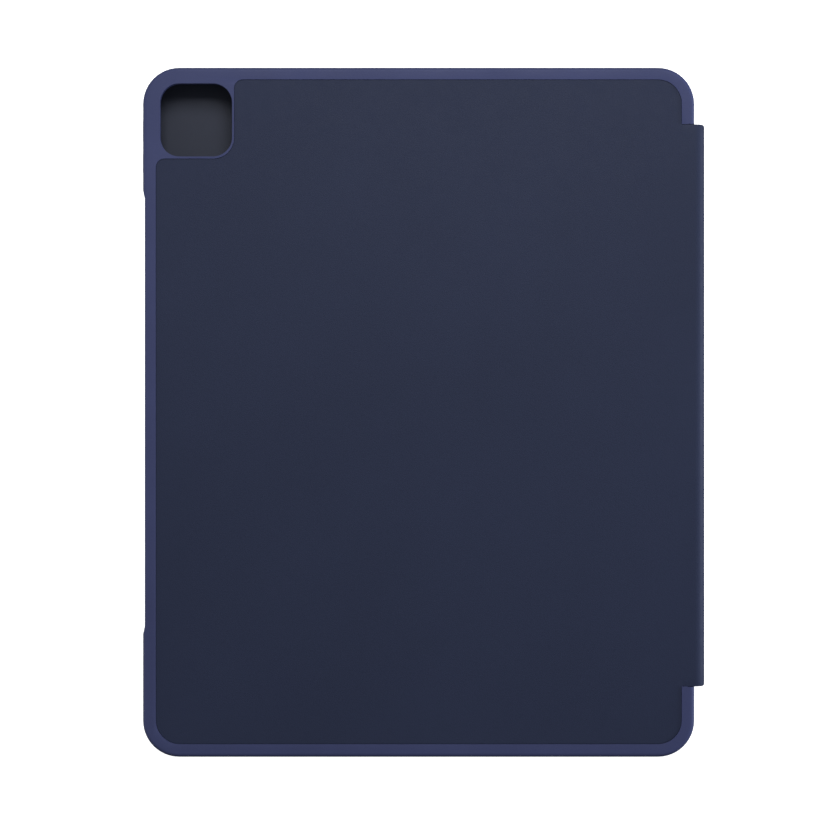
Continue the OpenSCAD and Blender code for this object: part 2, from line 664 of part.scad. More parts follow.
module backspace_key() {
  color([0.13, 0.14, 0.18]) key_set([back_u], num_x, pitch - key_gap, 15 - back_u);
}
module tab_key() {
  color([0.13, 0.14, 0.18]) key_set([tab_u], num_x - pitch, pitch - key_gap, 0);
}
module caps_key() {
  color([0.13, 0.14, 0.18]) key_set([caps_u], num_x - 2 * pitch, pitch - key_gap, 0);
}
module enter_key() {
  color([0.13, 0.14, 0.18]) key_set([enter_u], num_x - 2 * pitch, pitch - key_gap, 15 - enter_u);
}
module left_shift_key() {
  color([0.13, 0.14, 0.18]) key_set([shift_u], num_x - 3 * pitch, pitch - key_gap, 0);
}
module right_shift_key() {
  color([0.13, 0.14, 0.18]) key_set([shift_r_u], num_x - 3 * pitch, pitch - key_gap, 15 - shift_r_u);
}
module arrow_key(u, s) {
  arrow_cap(u, s, 0, key_z0, key_z1);
  arrow_stem(u, s, stem_w, stem_z, key_z0 + 0.2);
}
module left_arrow_key() {
  color([0.13, 0.14, 0.18]) arrow_key(12, -1);
}
module up_arrow_key() {
  color([0.13, 0.14, 0.18]) arrow_key(13, 1);
}
module down_arrow_key() {
  color([0.13, 0.14, 0.18]) arrow_key(13, -1);
}
module right_arrow_key() {
  color([0.13, 0.14, 0.18]) arrow_key(14, -1);
}
module trackpad() {
  color([0.18, 0.2, 0.27]) union() {
    box(pad_x0 + 0.3, pad_x1 - 0.3, -pad_y + 0.3, pad_y - 0.3, 5.5, 6.7);
    box(pad_x0 - 1, pad_x1 + 1, -pad_y - 1, pad_y + 1, 5.3, 5.72);
  }
}
module power_switch() {
  color([0.5, 0.5, 0.52]) union() {
    box(-83.8, -79.8, base_y - 2.6, base_y + 0.25, 3.75, 4.85);
    box(-84.6, -79, base_y - 2.8, base_y - case_w - 0.1, 3.2, 5.4);
  }
}

back_shell();
shell_lining();
back_board();
back_leather();
lid_hinge_leaf();
upper_hinge_pin();
lid_leaf_screws();
power_button();
volume_up_button();
volume_down_button();
spine_bar();
upper_friction_bushes();
lower_friction_bushes();
spine_leather();
spine_lining();
spine_end_caps();
upper_crease();
lower_crease();
cover_leather();
cover_board();
bottom_case();
deck();
bumper_strips();
key_plate();
membrane_circuit();
dome_sheet();
battery_cells();
controller_board();
usb_port();
status_lights();
base_hinge_leaf();
lower_hinge_pin();
base_leaf_screws();
deck_screws();
base_magnets();
trackpad_switch();
function_keys();
number_keys();
upper_letter_keys();
home_letter_keys();
lower_letter_keys();
modifier_keys();
space_bar();
escape_key();
backspace_key();
tab_key();
caps_key();
enter_key();
left_shift_key();
right_shift_key();
left_arrow_key();
up_arrow_key();
down_arrow_key();
right_arrow_key();
trackpad();
power_switch();
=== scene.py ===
"""Looks of a closed folio case with a keyboard in its cover."""

import json
import math

import bmesh
import bpy
from mathutils import Matrix, Vector

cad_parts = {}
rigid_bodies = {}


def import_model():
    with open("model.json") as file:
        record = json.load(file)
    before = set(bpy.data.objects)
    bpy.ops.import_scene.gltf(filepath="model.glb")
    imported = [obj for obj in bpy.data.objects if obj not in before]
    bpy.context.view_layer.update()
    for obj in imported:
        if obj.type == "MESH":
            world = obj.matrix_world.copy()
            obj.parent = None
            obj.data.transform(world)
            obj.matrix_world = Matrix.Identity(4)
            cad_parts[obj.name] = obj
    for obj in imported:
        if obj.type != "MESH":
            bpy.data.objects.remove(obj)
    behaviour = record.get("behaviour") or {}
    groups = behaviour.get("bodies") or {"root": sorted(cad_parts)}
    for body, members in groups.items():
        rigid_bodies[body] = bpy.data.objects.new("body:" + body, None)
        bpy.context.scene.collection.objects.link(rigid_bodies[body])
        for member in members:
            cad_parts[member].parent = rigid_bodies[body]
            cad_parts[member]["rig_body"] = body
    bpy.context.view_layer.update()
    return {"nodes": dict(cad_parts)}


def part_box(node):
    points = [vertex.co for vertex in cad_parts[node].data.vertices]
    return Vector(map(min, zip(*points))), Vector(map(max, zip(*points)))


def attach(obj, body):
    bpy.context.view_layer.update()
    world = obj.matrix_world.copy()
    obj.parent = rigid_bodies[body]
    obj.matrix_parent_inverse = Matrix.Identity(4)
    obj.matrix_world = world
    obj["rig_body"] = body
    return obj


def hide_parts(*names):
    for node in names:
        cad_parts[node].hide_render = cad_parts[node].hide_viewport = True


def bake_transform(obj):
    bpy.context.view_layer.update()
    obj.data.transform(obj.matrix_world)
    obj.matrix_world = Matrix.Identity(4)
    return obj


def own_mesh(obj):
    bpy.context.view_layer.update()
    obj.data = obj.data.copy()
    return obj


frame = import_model()
NODES = frame["nodes"]
SCENE = bpy.context.scene
MM = 0.001

# sizes repeated from the CAD source, in millimetres
SPINE_Y0, SPINE_Y1, SPINE_PLAY = -113.35, 119.05, 0.2
AXIS_X, AXIS_Z1, AXIS_Z2, BEND_R = 113.1, 3.45, 14.6, 3.45
# depth of the bend of the leather along X
BEND_W = 4.2
LEATHER_T, LEATHER_Z = 0.7, 18.05
# the soft face of the back leather stands a little higher than its flat solid
PLUMP = 0.15
PANEL = (-110.55, 106.65, -137.1, 137.45)
PANEL_R, NOTCH_X, NOTCH_Y, NOTCH_R, NOTCH_TIP = 9.8, -78.2, 104.75, 8.7, 3.5
BASE = (-115.6, 111.4, -142.05, 142.05)
BASE_R, BAND_X = 14.2, 109.5
DECK_Z0, DECK_Z1 = 5.8, 6.8
PITCH, KEY_GAP, WELL_GAP, KEY_Z0, KEY_Z1 = 18.0, 2.4, 0.3, 5.9, 7.8
FN_X, FN_D, NUM_X = 92.5, 8.6, 78.0
MOD_X = NUM_X - 4 * PITCH
PAD = (-93.0, -25.0, -56.0, 56.0)


# ---------------------------------------------------------------- materials
def nodes_of(name):
    m = bpy.data.materials.new(name)
    m.use_nodes = True
    t = m.node_tree
    t.nodes.clear()
    out = t.nodes.new("ShaderNodeOutputMaterial")
    p = t.nodes.new("ShaderNodeBsdfPrincipled")
    t.links.new(p.outputs["BSDF"], out.inputs["Surface"])
    coord = t.nodes.new("ShaderNodeTexCoord")
    return m, t, p, coord


def noise(t, coord, scale, detail=3.0, rough=0.55, stretch=None):
    n = t.nodes.new("ShaderNodeTexNoise")
    n.inputs["Scale"].default_value = scale
    n.inputs["Detail"].default_value = detail
    n.inputs["Roughness"].default_value = rough
    if stretch:
        mp = t.nodes.new("ShaderNodeMapping")
        mp.inputs["Scale"].default_value = stretch
        t.links.new(coord.outputs["Object"], mp.inputs["Vector"])
        t.links.new(mp.outputs["Vector"], n.inputs["Vector"])
    else:
        t.links.new(coord.outputs["Object"], n.inputs["Vector"])
    return n.outputs["Fac"]


def ramp(t, fac, stops):
    r = t.nodes.new("ShaderNodeValToRGB")
    e = r.color_ramp.elements
    while len(e) < len(stops):
        e.new(0.5)
    for el, (pos, col) in zip(e, stops):
        el.position = pos
        el.color = (*col, 1.0) if len(col) == 3 else col
    t.links.new(fac, r.inputs["Fac"])
    return r.outputs["Color"]


def grey(v):
    return (v, v, v)


def shade_of(col, f):
    return tuple(min(1.0, c * f) for c in col)


def bump(t, height, strength, distance, chain=None):
    b = t.nodes.new("ShaderNodeBump")
    b.inputs["Strength"].default_value = strength
    b.inputs["Distance"].default_value = distance
    t.links.new(height, b.inputs["Height"])
    if chain is not None:
        t.links.new(chain, b.inputs["Normal"])
    return b.outputs["Normal"]


def mix(t, a, b, fac, kind="MULTIPLY"):
    m = t.nodes.new("ShaderNodeMix")
    m.data_type = "RGBA"
    m.blend_type = kind
    m.inputs["Factor"].default_value = fac
    t.links.new(a, m.inputs["A"])
    t.links.new(b, m.inputs["B"])
    return m.outputs["Result"]


def moulded(name, col, rough=0.55, spec=0.4, grain=3200.0, depth=0.25, vary=0.06, sheen=0.0, gloss=0.05):
    """Moulded plastic or rubber: a fine sparked texture, uneven gloss and a faint mottling."""
    m, t, p, c = nodes_of(name)
    base = ramp(t, noise(t, c, 34.0, 4.0), [(0.3, shade_of(col, 1 - vary)), (0.7, shade_of(col, 1 + vary))])
    speck = ramp(t, noise(t, c, grain * 0.6, 2.0), [(0.35, grey(0.9)), (0.65, grey(1.0))])
    t.links.new(mix(t, base, speck, 0.5), p.inputs["Base Color"])
    t.links.new(ramp(t, noise(t, c, 55.0, 3.0), [(0.3, grey(rough - gloss)), (0.7, grey(rough + gloss))]), p.inputs["Roughness"])
    p.inputs["Specular IOR Level"].default_value = spec
    if sheen:
        p.inputs["Sheen Weight"].default_value = sheen
        p.inputs["Sheen Roughness"].default_value = 0.5
    fine = noise(t, c, grain, 2.0, 0.6)
    t.links.new(bump(t, fine, depth, 0.00006), p.inputs["Normal"])
    return m


def leather(name, col, rough=0.5, spec=0.42, cell=900.0, depth=0.22):
    """Smooth finished leather: small irregular pebbles with fine creases between them; the base colour is darkened
    along the creases as painted shade.
    """
    m, t, p, c = nodes_of(name)
    warp = noise(t, c, 240.0, 3.0)
    mp = t.nodes.new("ShaderNodeVectorMath")
    mp.operation = "SCALE"
    mp.inputs["Scale"].default_value = 1.0
    t.links.new(c.outputs["Object"], mp.inputs[0])
    add = t.nodes.new("ShaderNodeMix")
    add.data_type = "VECTOR"
    add.inputs["Factor"].default_value = 0.0012
    t.links.new(mp.outputs["Vector"], add.inputs["A"])
    wn = t.nodes.new("ShaderNodeTexNoise")
    wn.inputs["Scale"].default_value = 420.0
    wn.inputs["Detail"].default_value = 2.0
    t.links.new(c.outputs["Object"], wn.inputs["Vector"])
    t.links.new(wn.outputs["Color"], add.inputs["B"])
    v = t.nodes.new("ShaderNodeTexVoronoi")
    v.feature = "DISTANCE_TO_EDGE"
    v.inputs["Scale"].default_value = cell
    t.links.new(add.outputs["Result"], v.inputs["Vector"])
    crease = ramp(t, v.outputs["Distance"], [(0.0, grey(0.0)), (0.16, grey(1.0))])
    tone = ramp(t, noise(t, c, 14.0, 5.0, 0.6), [(0.3, shade_of(col, 0.95)), (0.7, shade_of(col, 1.05))])
    # painted shade: the base colour is made darker along the crease lines between the pebbles, on top of the bumped
    # creases
    lines = ramp(t, v.outputs["Distance"], [(0.0, grey(0.86)), (0.1, grey(1.0))])
    t.links.new(mix(t, tone, lines, 0.6), p.inputs["Base Color"])
    t.links.new(ramp(t, warp, [(0.3, grey(rough - 0.04)), (0.7, grey(rough + 0.04))]), p.inputs["Roughness"])
    p.inputs["Specular IOR Level"].default_value = spec
    big = bump(t, crease, depth, 0.00005)
    t.links.new(bump(t, noise(t, c, 2600.0, 2.0), 0.12, 0.00004, big), p.inputs["Normal"])
    return m


def cloth(name, col, rough=0.9, sheen=0.35):
    """Napped microfibre lining: short soft fibres, with brushed lighter and darker patches."""
    m, t, p, c = nodes_of(name)
    patch = ramp(t, noise(t, c, 22.0, 5.0, 0.65), [(0.32, shade_of(col, 0.93)), (0.68, shade_of(col, 1.08))])
    fibre = ramp(t, noise(t, c, 2400.0, 3.0, 0.7), [(0.3, grey(0.72)), (0.7, grey(1.0))])
    t.links.new(mix(t, patch, fibre, 0.8), p.inputs["Base Color"])
    p.inputs["Roughness"].default_value = rough
    p.inputs["Specular IOR Level"].default_value = 0.15
    p.inputs["Sheen Weight"].default_value = sheen
    p.inputs["Sheen Roughness"].default_value = 0.45
    t.links.new(bump(t, noise(t, c, 1900.0, 3.0, 0.7), 0.35, 0.00008), p.inputs["Normal"])
    return m


def metal(name, col, rough=0.35, stretch=(4000.0, 40.0, 4000.0)):
    """Brushed metal with lines along the hinge."""
    m, t, p, c = nodes_of(name)
    lines = noise(t, c, 1.0, 3.0, 0.6, stretch)
    t.links.new(ramp(t, lines, [(0.3, shade_of(col, 0.85)), (0.7, shade_of(col, 1.1))]), p.inputs["Base Color"])
    t.links.new(ramp(t, lines, [(0.3, grey(rough - 0.08)), (0.7, grey(rough + 0.08))]), p.inputs["Roughness"])
    p.inputs["Metallic"].default_value = 1.0
    t.links.new(bump(t, lines, 0.1, 0.00003), p.inputs["Normal"])
    return m


def lamp(name, col, strength):
    m, t, p, c = nodes_of(name)
    t.links.new(ramp(t, noise(t, c, 900.0), [(0.3, shade_of(col, 0.9)), (0.7, col)]), p.inputs["Base Color"])
    p.inputs["Roughness"].default_value = 0.3
    p.inputs["Emission Color"].default_value = (*col, 1.0)
    p.inputs["Emission Strength"].default_value = strength
    return m


TPU = moulded("tpu_blue", (0.0380, 0.0455, 0.1110), rough=0.58, spec=0.15, grain=2600.0, depth=0.2)
HIDE = leather("leather_navy", (0.0182, 0.0239, 0.0500), rough=0.55, spec=0.12, cell=1200.0, depth=0.3)
LINING = cloth("microfibre", (0.0270, 0.0305, 0.0460), sheen=0.2)
CASE = moulded("case_navy", (0.0195, 0.0235, 0.0400), rough=0.5, spec=0.3, grain=3600.0)
DECK = moulded("deck_navy", (0.0185, 0.0225, 0.0385), rough=0.5, spec=0.22, grain=3600.0, depth=0.18, vary=0.04, gloss=0.03)
KEYS = moulded("key_black", (0.0150, 0.0165, 0.0225), rough=0.5, spec=0.4, grain=3000.0, depth=0.2)
INK = moulded("legend_ink", (0.55, 0.57, 0.6), rough=0.6, spec=0.2, grain=5000.0, depth=0.05, vary=0.03)
GLIDE = moulded("pad_satin", (0.0230, 0.0270, 0.0440), rough=0.34, spec=0.4, grain=5200.0, depth=0.06, vary=0.03, gloss=0.012)
SOFT = moulded("bumper_rubber", (0.0140, 0.0150, 0.0200), rough=0.72, spec=0.25, grain=1800.0)
STEEL = metal("brushed_steel", (0.52, 0.53, 0.55))
HINGE = metal("dark_nickel", (0.150, 0.154, 0.168), 0.44)
BAR = metal("anodised_bar", (0.175, 0.180, 0.196), 0.47)
BRONZE = metal("bush_bronze", (0.52, 0.38, 0.18), 0.38)
PLATED = metal("plated_magnet", (0.62, 0.62, 0.64), 0.25)
BOARD = moulded("fibre_board", (0.022, 0.024, 0.032), rough=0.85, spec=0.15, grain=900.0, depth=0.4, vary=0.12)
INNER = moulded("inner_plastic", (0.055, 0.058, 0.064), rough=0.55, spec=0.35)
FILM = moulded("circuit_film", (0.30, 0.31, 0.24), rough=0.3, spec=0.5, grain=1500.0, depth=0.05)
RUBBER = moulded("dome_rubber", (0.40, 0.40, 0.40), rough=0.6, spec=0.3)
POUCH = moulded("cell_pouch", (0.36, 0.37, 0.40), rough=0.32, spec=0.5, grain=700.0)
CIRCUIT = moulded("circuit_board", (0.020, 0.095, 0.050), rough=0.4, spec=0.45, grain=1200.0)
GLOW = lamp("status_light", (0.42, 0.48, 0.46), 0.08)
AMBER = moulded("amber_tape", (0.42, 0.19, 0.03), rough=0.3, spec=0.5, grain=900.0, depth=0.05)
CHIP = moulded("chip_black", (0.012, 0.012, 0.013), rough=0.5, spec=0.35)
CREAM = moulded("socket_cream", (0.55, 0.52, 0.44), rough=0.5, spec=0.35)
SILVER = metal("silver_ink", (0.58, 0.58, 0.56), 0.45, (500.0, 500.0, 500.0))
KNOB = moulded("switch_knob", (0.20, 0.21, 0.23), rough=0.45, spec=0.4)


# ---------------------------------------------------------------- mesh help
def put(name, bm, material, angle=30.0):
    """Makes an object of a bmesh given in millimetres."""
    bm.normal_update()
    me = bpy.data.meshes.new(name)
    bm.to_mesh(me)
    bm.free()
    me.transform(Matrix.Scale(MM, 4))
    me.materials.append(material)
    o = bpy.data.objects.new(name, me)
    SCENE.collection.objects.link(o)
    smooth(o, angle)
    return o


def smooth(o, angle):
    for f in o.data.polygons:
        f.use_smooth = True
    o.data.set_sharp_from_angle(angle=math.radians(angle))


def refined(node, material, width=0.25, segments=3, angle=38.0, name=None, crisp=None):
    """A copy of a CAD node with clean faces and softly rounded edges, which stands for the node."""
    bm = bmesh.new()
    bm.from_mesh(NODES[node].data)
    bmesh.ops.scale(bm, vec=(1000, 1000, 1000), verts=bm.verts)
    bmesh.ops.remove_doubles(bm, verts=bm.verts, dist=0.002)
    bmesh.ops.dissolve_limit(bm, angle_limit=math.radians(0.6), verts=bm.verts, edges=bm.edges)
    if crisp:
        bm.normal_update()
        lay = bm.edges.layers.float.new("bevel_weight_edge")
        for e in bm.edges:
            if len(e.link_faces) == 2 and e.calc_face_angle(0.0) > math.radians(angle):
                e[lay] = 0.12 if crisp((e.verts[0].co + e.verts[1].co) / 2) else 1.0
    o = put(name or node + ".v", bm, material, angle)
    if width:
        b = o.modifiers.new("edge", "BEVEL")
        b.width = width * MM
        b.segments = segments
        b.limit_method = "WEIGHT" if crisp else "ANGLE"
        b.angle_limit = math.radians(angle)
        b.harden_normals = True
        b.use_clamp_overlap = True
    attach(o, NODES[node]["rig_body"])
    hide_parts(node)
    return o


def arc(cx, cy, r, a0, a1, n=12):
    return [
        (cx + r * math.cos(math.radians(a0 + (a1 - a0) * i / n)), cy + r * math.sin(math.radians(a0 + (a1 - a0) * i / n)))
        for i in range(n + 1)
    ]


def rounded(x0, x1, y0, y1, r, n=8):
    return (
        arc(x1 - r, y0 + r, r, -90, 0, n)
        + arc(x1 - r, y1 - r, r, 0, 90, n)
        + arc(x0 + r, y1 - r, r, 90, 180, n)
        + arc(x0 + r, y0 + r, r, 180, 270, n)
    )


def clean(points, tol=1e-4):
    out = []
    for p in points:
        if not out or (abs(p[0] - out[-1][0]) + abs(p[1] - out[-1][1])) > tol:
            out.append(p)
    if abs(out[0][0] - out[-1][0]) + abs(out[0][1] - out[-1][1]) <= tol:
        out.pop()
    return out


def lofted(bm, loops, cap_low=True, cap_high=True):
    """Skins a stack of equal closed loops of 3-D points."""
    rings = [[bm.verts.new(p) for p in loop] for loop in loops]
    n = len(rings[0])
    for a, b in zip(rings, rings[1:]):
        for i in range(n):
            j = (i + 1) % n
            bm.faces.new((a[i], a[j], b[j], b[i]))
    if cap_low:
        bm.faces.new(list(reversed(rings[0])))
    if cap_high:
        bm.faces.new(rings[-1])
    return rings


def plate_curve(name, outlines, z0, z1, radius, material, steps=3, angle=24.0):
    """A flat plate with holes and rounded edges, from closed outlines in millimetres."""
    cu = bpy.data.curves.new(name + ".c", "CURVE")
    cu.dimensions = "2D"
    cu.fill_mode = "BOTH"
    for pts in outlines:
        pts = clean(pts)
        s = cu.splines.new("POLY")
        s.points.add(len(pts) - 1)
        for q, (x, y) in zip(s.points, pts):
            q.co = (x * MM, y * MM, 0, 1)
        s.use_cyclic_u = True
    cu.extrude = max((z1 - z0) / 2 - radius, 0.0) * MM
    cu.bevel_depth = radius * MM
    cu.bevel_resolution = steps
    cu.offset = -radius * MM
    tmp = bpy.data.objects.new(name + ".c", cu)
    SCENE.collection.objects.link(tmp)
    bpy.context.view_layer.update()
    me = bpy.data.meshes.new_from_object(tmp.evaluated_get(bpy.context.evaluated_depsgraph_get()))
    bpy.data.objects.remove(tmp)
    bpy.data.curves.remove(cu)
    me.name = name
    me.transform(Matrix.Translation((0, 0, (z0 + z1) / 2 * MM)))
    me.materials.clear()
    me.materials.append(material)
    bm = bmesh.new()
    bm.from_mesh(me)
    bmesh.ops.remove_doubles(bm, verts=bm.verts, dist=2e-6)
    bmesh.ops.recalc_face_normals(bm, faces=bm.faces)
    bm.to_mesh(me)
    bm.free()
    o = bpy.data.objects.new(name, me)
    SCENE.collection.objects.link(o)
    smooth(o, angle)
    for f in me.polygons:
        f.use_smooth = abs(f.normal.z) < 0.9995
    return o


# ---------------------------------------------------------------- leather
def wrap_section(x_start, h):
    """Outer line of the leather from the flat side to the middle of the spine: (x, drop, nx, nz)."""
    out = []
    cx = AXIS_X + BEND_R - BEND_W
    steps = 4 if cx - x_start > 1.0 else 1
    for i in range(steps):
        out.append((x_start + (cx - x_start) * i / steps, 0.0, 0.0, 1.0))
    for i in range(0, 19):
        a = math.radians(90 - 90 * i / 18)
        n = Vector((math.cos(a) / BEND_W, math.sin(a) / h)).normalized()
        out.append((cx + BEND_W * math.cos(a), h * math.sin(a) - h, n.x, n.y))
    mid = (AXIS_Z2 - AXIS_Z1) / 2
    for i in range(1, 5):
        out.append((AXIS_X + BEND_R, -h - mid * i / 4, 1.0, 0.0))
    return out


def drawn_in(x):
    """How far the end of the leather stands back at a place along X: none on the flap, round at the spine."""
    t = min(max((x - (AXIS_X + BEND_R - 1.35)) / 1.35, 0.0), 1.0)
    return 0.95 * (1 - math.sqrt(max(1 - t * t, 0.0))) - (0.04 if x < AXIS_X - 1.0 else 0.0)


def hide_sheet(name, outline, x_start, upper, round_r=0.26):
    """One sheet of leather: a flat side whose outline runs on over the bend to the middle of the spine.
    The outline is the flat side, from the upper end of the flap counter-clockwise to its lower end."""
    z = LEATHER_Z + PLUMP if upper else 0.0
    sgn = 1.0 if upper else -1.0
    rows = 56
    section = wrap_section(x_start, BEND_R + (PLUMP if upper else 0.0))
    bm = bmesh.new()
    layers = []
    for depth in (0.0, LEATHER_T):
        grid = []
        for x, dz, nx, nz in section:
            e = drawn_in(x - nx * depth)
            a, b = SPINE_Y0 + e, SPINE_Y1 - e
            grid.append(
                [
                    bm.verts.new((x - nx * depth, a + (b - a) * i / rows, z + sgn * (dz - nz * depth)))
                    for i in range(rows + 1)
                ]
            )
        rim = [bm.verts.new((x, y, z - sgn * depth)) for x, y in outline]
        layers.append((grid, rim))
    (g0, r0), (g1, r1) = layers
    for grid in (g0, g1):
        for a, b in zip(grid, grid[1:]):
            for i in range(rows):
                bm.faces.new((a[i], b[i], b[i + 1], a[i + 1]))
    # flat sides, joined to the first column of the bend
    flats = [bm.faces.new(list(g0[0]) + list(r0)), bm.faces.new(list(g1[0]) + list(r1))]
    # side walls
    edge0 = list(reversed([c[-1] for c in g0])) + list(r0) + [c[0] for c in g0]
    edge1 = list(reversed([c[-1] for c in g1])) + list(r1) + [c[0] for c in g1]
    for i in range(len(edge0) - 1):
        bm.faces.new((edge0[i], edge1[i], edge1[i + 1], edge0[i + 1]))
    # end at the middle of the spine
    a, b = g0[-1], g1[-1]
    for i in range(rows):
        bm.faces.new((a[i], b[i], b[i + 1], a[i + 1]))
    bmesh.ops.recalc_face_normals(bm, faces=bm.faces)
    chain = [bm.edges.get((edge0[i], edge0[i + 1])) for i in range(len(edge0) - 1)]
    bmesh.ops.bevel(
        bm,
        geom=[e for e in chain if e],
        offset=round_r,
        offset_type="OFFSET",
        segments=4,
        profile=0.5,
        affect="EDGES",
        clamp_overlap=True,
    )
    # a narrow ring inside each big flat face keeps its shading level
    bm.normal_update()
    big = [f for f in bm.faces if f.calc_area() > 10000.0]
    bmesh.ops.inset_individual(bm, faces=big, thickness=0.35, use_even_offset=True)
    return put(name, bm, HIDE, 50.0)


def panel_outline():
    """Flat side of the back leather, cut away round the window. It is pressed out to the rim."""
    g = 0.09
    x0, x1, y0, y1 = PANEL[0] - g, PANEL[1] + g, PANEL[2] - g, PANEL[3] + g
    r, tip, nr, nx, ny = PANEL_R + g, NOTCH_TIP + g, NOTCH_R - g, NOTCH_X - g, NOTCH_Y + g
    f = 0.3
    pts = []
    pts += arc(x1 + f, SPINE_Y1 + f, f, 270, 180, 4)
    pts += arc(x1 - r, y1 - r, r, 0, 90, 14)
    pts += arc(nx + tip, y1 - tip, tip, 90, 180, 8)
    pts += arc(nx - nr, ny + nr, nr, 0, -90, 12)
    pts += arc(x0 + tip, ny - tip, tip, 90, 180, 8)
    pts += arc(x0 + r, y0 + r, r, 180, 270, 14)
    pts += arc(x1 - r, y0 + r, r, 270, 360, 14)
    pts += arc(x1 + f, SPINE_Y0 - f, f, 180, 90, 4)
    return pts


def cover_outline():
    """Flat side of the cover leather."""
    x0, x1, y0, y1 = BASE[0] - 0.3, BASE[1] + 0.3, BASE[2] - 0.3, BASE[3] + 0.3
    r = BASE_R + 0.3
    f = 0.3
    pts = []
    pts += arc(x1 + f, SPINE_Y1 + f, f, 270, 180, 4)
    pts += arc(x1 - r, y1 - r, r, 0, 90, 14)
    pts += arc(x0 + r, y1 - r, r, 90, 180, 14)
    pts += arc(x0 + r, y0 + r, r, 180, 270, 14)
    pts += arc(x1 - r, y0 + r, r, 270, 360, 14)
    pts += arc(x1 + f, SPINE_Y0 - f, f, 180, 90, 4)
    return pts


back = hide_sheet("back_hide", panel_outline(), PANEL[1] + 0.7, True, 0.15)
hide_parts("back_leather", "upper_crease", "spine_leather")
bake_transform(back)
cover = hide_sheet("cover_hide", cover_outline(), BASE[1] + 0.7, False)
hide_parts("cover_leather", "lower_crease")
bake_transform(cover)

# ---------------------------------------------------------------- shell and lining
refined(
    "back_shell",
    TPU,
    0.22,
    3,
    crisp=lambda q: q.z > 17.0 and q.x > 106.0 and min(abs(q.y - SPINE_Y0), abs(q.y - SPINE_Y1)) < 0.3,
)
refined("shell_lining", LINING, 0.1, 3)
for n in ("power_button", "volume_up_button", "volume_down_button"):
    refined(n, TPU, 0.35, 4)

# ---------------------------------------------------------------- base
refined("bottom_case", CASE, 0.3, 3)
refined("bumper_strips", SOFT, 0.4, 3)
refined("spine_bar", BAR, 0.25, 3)
refined("power_switch", KNOB, 0.15, 2)
refined("usb_port", STEEL, 0.1, 2)
refined("status_lights", GLOW, 0.12, 3)
refined("spine_lining", LINING, 0.07, 3)
refined("spine_end_caps", CASE, 0.05, 2)
for n in ("lid_hinge_leaf", "base_hinge_leaf"):
    refined(n, HINGE, 0.12, 2)

for n in ("back_board", "cover_board"):
    refined(n, BOARD, 0.2, 2)
for n in ("upper_hinge_pin", "lower_hinge_pin"):
    refined(n, HINGE, 0.3, 3)
for n in ("upper_friction_bushes", "lower_friction_bushes"):
    refined(n, BRONZE, 0.12, 2)
refined("key_plate", INNER, 0.12, 2)
refined("trackpad_switch", INNER, 0.12, 2)
refined("base_magnets", PLATED, 0.3, 3)
for n in ("lid_leaf_screws", "base_leaf_screws", "deck_screws"):
    NODES[n].data.materials.clear()
    NODES[n].data.materials.append(STEEL)


# ---------------------------------------------------------------- keyboard
def row_boxes(widths, x, d, u=0.0):
    """Boxes (x0, x1, y0, y1) of a row of keycaps, from the user's left (+Y)."""
    out = []
    for w in widths:
        a = 135 - PITCH * u
        out.append((x - d / 2, x + d / 2, a - PITCH * w + KEY_GAP / 2, a - KEY_GAP / 2))
        u += w
    return out


D = PITCH - KEY_GAP
H = (D - 0.9) / 2


def arrow_box(u, rear):
    """Half-height arrow key, in the front or the rear half of the row."""
    a = 135 - PITCH * u
    lo = MOD_X + D / 2 - H if rear else MOD_X - D / 2
    return [(lo, lo + H, a - PITCH + KEY_GAP / 2, a - KEY_GAP / 2)]


FN_U = 15 / 14
ROWS = {
    "escape_key": row_boxes([FN_U], FN_X, FN_D),
    "function_keys": row_boxes([FN_U] * 13, FN_X, FN_D, FN_U),
    "number_keys": row_boxes([1] * 13, NUM_X, D),
    "backspace_key": row_boxes([2], NUM_X, D, 13),
    "tab_key": row_boxes([1.5], NUM_X - PITCH, D),
    "upper_letter_keys": row_boxes([1] * 12 + [1.5], NUM_X - PITCH, D, 1.5),
    "caps_key": row_boxes([1.75], NUM_X - 2 * PITCH, D),
    "home_letter_keys": row_boxes([1] * 11, NUM_X - 2 * PITCH, D, 1.75),
    "enter_key": row_boxes([2.25], NUM_X - 2 * PITCH, D, 12.75),
    "left_shift_key": row_boxes([2.25], NUM_X - 3 * PITCH, D),
    "lower_letter_keys": row_boxes([1] * 10, NUM_X - 3 * PITCH, D, 2.25),
    "right_shift_key": row_boxes([2.75], NUM_X - 3 * PITCH, D, 12.25),
    "modifier_keys": row_boxes([1, 1, 1, 1.25], MOD_X, D) + row_boxes([1.25], MOD_X, D, 10.75),
    "space_bar": row_boxes([6.5], MOD_X, D, 4.25),
    "left_arrow_key": arrow_box(12, False),
    "up_arrow_key": arrow_box(13, True),
    "down_arrow_key": arrow_box(13, False),
    "right_arrow_key": arrow_box(14, False),
}
DISH = 0.09
STEM_Z, SHEET_Z0, SHEET_Z1 = 4.36, 2.7, 2.9
SPACE_STEMS = (16.8 / 114.6, 0.5, 97.8 / 114.6)


